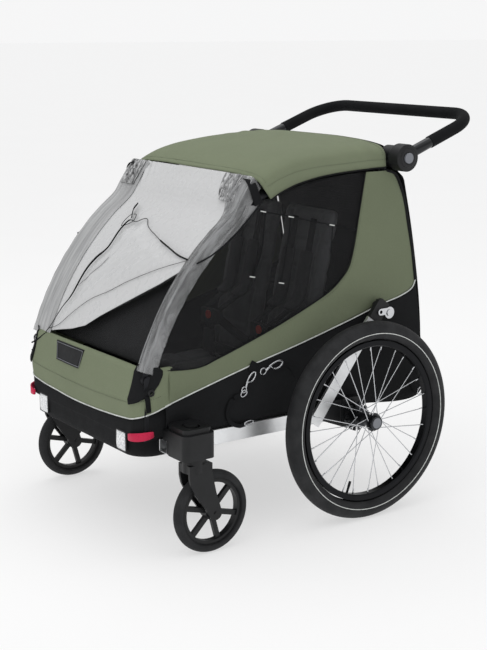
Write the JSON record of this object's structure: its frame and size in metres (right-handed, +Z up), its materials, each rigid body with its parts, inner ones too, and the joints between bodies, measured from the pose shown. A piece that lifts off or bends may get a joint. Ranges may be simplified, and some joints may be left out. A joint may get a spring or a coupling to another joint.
{
  "type": "child bicycle trailer",
  "caption": "Enclosed child bicycle trailer with spoked rear wheels, swivel front casters, clear front cover, mesh side windows and a folding roof frame with a tilting push bar.",
  "frame": {"origin": "on the ground, under the middle of the length and width", "axes": "+Z up, -Y the direction of travel, +X the trailer's left side"},
  "size_m": [0.812, 1.0288, 0.9953],
  "materials": {
    "rail_metal": "satin anodised",
    "black_plastic": "fine moulded grain",
    "dark_metal": "black powder coat",
    "tub_fabric": "coated dense weave",
    "green_fabric": "sage green coated weave",
    "mesh_fabric": "open mesh",
    "seat_fabric": "woven",
    "webbing": "ribbed webbing",
    "reflector": "prismatic",
    "red_tab": "woven loop",
    "chrome_hardware": "plated",
    "clear_vinyl": "soft clear film",
    "grip_foam": "closed-cell foam",
    "grey_button": "smooth",
    "tyre_rubber": "worn rubber",
    "black_rim": "gloss black",
    "spoke_steel": "polished",
    "hub_metal": "black anodised",
    "caster_plastic": "moulded",
    "button_plastic": "moulded",
    "red_button": "moulded"
  },
  "bodies": {
    "chassis": {"rail_left": "rail_metal", "rail_right": "rail_metal", "cross_tubes": "rail_metal", "axle_brackets": "black_plastic", "struts": "rail_metal", "latch_brackets": "black_plastic", "front_hinges": "dark_metal", "caster_brackets": "black_plastic", "tub": "tub_fabric", "bumper": "green_fabric", "lower_sides": "tub_fabric", "side_panels": "green_fabric", "side_windows": "mesh_fabric", "seat_cushion": "seat_fabric", "backrests": "seat_fabric", "harnesses": "webbing", "buckles": "black_plastic", "rear_panel": "tub_fabric", "reflectors": "reflector", "red_tab": "red_tab", "tension_straps": "webbing", "strap_hardware": "chrome_hardware"},
    "roof_frame": {"roof_bar_left": "dark_metal", "roof_bar_right": "dark_metal", "roof_cross_bars": "dark_metal", "hub_housings": "black_plastic", "canopy": "green_fabric", "front_cover": "clear_vinyl", "front_mesh": "mesh_fabric"},
    "upright": {"upright_hoop": "dark_metal"},
    "push_bar": {"handlebar_tube": "dark_metal", "handlebar_grip": "grip_foam", "handle_clamps": "black_plastic"},
    "brake_pedal": {"brake_pedal": "black_plastic"},
    "latch_lever_left": {"latch_lever_left": "chrome_hardware"},
    "hub_button_left": {"hub_button_left": "grey_button"},
    "rear_wheel_left": {"tyre_left": "tyre_rubber", "rim_left": "black_rim", "spokes_left": "spoke_steel", "hub_left": "hub_metal"},
    "cap_button_left": {"cap_button_left": "grey_button"},
    "caster_fork_left": {"fork_left": "black_plastic"},
    "caster_wheel_left": {"caster_wheel_left": "caster_plastic", "caster_tyre_left": "tyre_rubber"},
    "caster_button_left": {"caster_button_left": "button_plastic"},
    "brake_pin_left": {"brake_pin_left": "chrome_hardware"},
    "buckle_button_left": {"buckle_button_left": "red_button"},
    "latch_lever_right": {"latch_lever_right": "chrome_hardware"},
    "hub_button_right": {"hub_button_right": "grey_button"},
    "rear_wheel_right": {"tyre_right": "tyre_rubber", "rim_right": "black_rim", "spokes_right": "spoke_steel", "hub_right": "hub_metal"},
    "cap_button_right": {"cap_button_right": "grey_button"},
    "caster_fork_right": {"fork_right": "black_plastic"},
    "caster_wheel_right": {"caster_wheel_right": "caster_plastic", "caster_tyre_right": "tyre_rubber"},
    "caster_button_right": {"caster_button_right": "button_plastic"},
    "brake_pin_right": {"brake_pin_right": "chrome_hardware"},
    "buckle_button_right": {"buckle_button_right": "red_button"}
  },
  "joints": [
    {"name": "roof_fold", "type": "hinge", "parent": "chassis", "child": "roof_frame", "pos_m": [0, -0.481, 0.415], "axis": [1, 0, 0], "range_deg": [-37, 0], "deforming": ["lower_sides", "side_panels", "side_windows", "backrests", "harnesses", "rear_panel"]},
    {"name": "upright_fold", "type": "hinge", "parent": "roof_frame", "child": "upright", "pos_m": [0, 0.244, 0.885], "axis": [1, 0, 0], "range_deg": [-44.1, 0]},
    {"name": "push_bar_tilt", "type": "hinge", "parent": "roof_frame", "child": "push_bar", "pos_m": [0, 0.244, 0.885], "axis": [1, 0, 0], "range_deg": [-60, 120]},
    {"name": "brake_pedal_press", "type": "hinge", "parent": "chassis", "child": "brake_pedal", "pos_m": [0, 0.124, 0.226], "axis": [1, 0, 0], "range_deg": [-22, 0]},
    {"name": "latch_left_open", "type": "hinge", "parent": "chassis", "child": "latch_lever_left", "pos_m": [0.3, 0.208, 0.498], "axis": [1, 0, 0], "range_deg": [0, 70]},
    {"name": "hub_button_left_press", "type": "slide", "parent": "push_bar", "child": "hub_button_left", "axis": [-1, 0, 0], "range_m": [0, 0.004], "stiffness_N_per_m": 400},
    {"name": "rear_wheel_left_spin", "type": "hinge", "parent": "chassis", "child": "rear_wheel_left", "pos_m": [0.371, 0.094, 0.25], "axis": [1, 0, 0], "continuous": true},
    {"name": "cap_button_left_press", "type": "slide", "parent": "rear_wheel_left", "child": "cap_button_left", "axis": [-1, 0, 0], "range_m": [0, 0.0045], "stiffness_N_per_m": 400},
    {"name": "caster_left_swivel", "type": "hinge", "parent": "chassis", "child": "caster_fork_left", "pos_m": [0.34, -0.403, 0.22], "axis": [0, 0, 1], "continuous": true},
    {"name": "caster_left_spin", "type": "hinge", "parent": "caster_fork_left", "child": "caster_wheel_left", "pos_m": [0.34, -0.356, 0.1], "axis": [1, 0, 0], "continuous": true},
    {"name": "caster_button_left_press", "type": "slide", "parent": "chassis", "child": "caster_button_left", "axis": [0, 0, -1], "range_m": [0, 0.0035], "stiffness_N_per_m": 400},
    {"name": "brake_pin_left_slide", "type": "slide", "parent": "chassis", "child": "brake_pin_left", "axis": [1, 0, 0], "range_m": [0, 0.008]},
    {"name": "buckle_button_left_press", "type": "slide", "parent": "chassis", "child": "buckle_button_left", "axis": [0, 1, 0], "range_m": [0, 0.0025], "stiffness_N_per_m": 300},
    {"name": "latch_right_open", "type": "hinge", "parent": "chassis", "child": "latch_lever_right", "pos_m": [-0.3, 0.208, 0.498], "axis": [1, 0, 0], "range_deg": [0, 70]},
    {"name": "hub_button_right_press", "type": "slide", "parent": "push_bar", "child": "hub_button_right", "axis": [1, 0, 0], "range_m": [0, 0.004], "stiffness_N_per_m": 400},
    {"name": "rear_wheel_right_spin", "type": "hinge", "parent": "chassis", "child": "rear_wheel_right", "pos_m": [-0.371, 0.094, 0.25], "axis": [1, 0, 0], "continuous": true},
    {"name": "cap_button_right_press", "type": "slide", "parent": "rear_wheel_right", "child": "cap_button_right", "axis": [1, 0, 0], "range_m": [0, 0.0045], "stiffness_N_per_m": 400},
    {"name": "caster_right_swivel", "type": "hinge", "parent": "chassis", "child": "caster_fork_right", "pos_m": [-0.34, -0.403, 0.22], "axis": [0, 0, 1], "continuous": true},
    {"name": "caster_right_spin", "type": "hinge", "parent": "caster_fork_right", "child": "caster_wheel_right", "pos_m": [-0.34, -0.356, 0.1], "axis": [1, 0, 0], "continuous": true},
    {"name": "caster_button_right_press", "type": "slide", "parent": "chassis", "child": "caster_button_right", "axis": [0, 0, -1], "range_m": [0, 0.0035], "stiffness_N_per_m": 400},
    {"name": "brake_pin_right_slide", "type": "slide", "parent": "chassis", "child": "brake_pin_right", "axis": [-1, 0, 0], "range_m": [0, 0.008]},
    {"name": "buckle_button_right_press", "type": "slide", "parent": "chassis", "child": "buckle_button_right", "axis": [0, 1, 0], "range_m": [0, 0.0025], "stiffness_N_per_m": 300}
  ],
  "couplings": [
    {"joint": "upright_fold", "follows": "roof_fold", "ratio": 1.19},
    {"joint": "latch_left_open", "follows": "roof_fold", "ratio": -1.85},
    {"joint": "brake_pin_left_slide", "follows": "brake_pedal_press", "m_per_rad": -0.0207},
    {"joint": "latch_right_open", "follows": "roof_fold", "ratio": -1.85},
    {"joint": "brake_pin_right_slide", "follows": "brake_pedal_press", "m_per_rad": -0.0207}
  ]
}
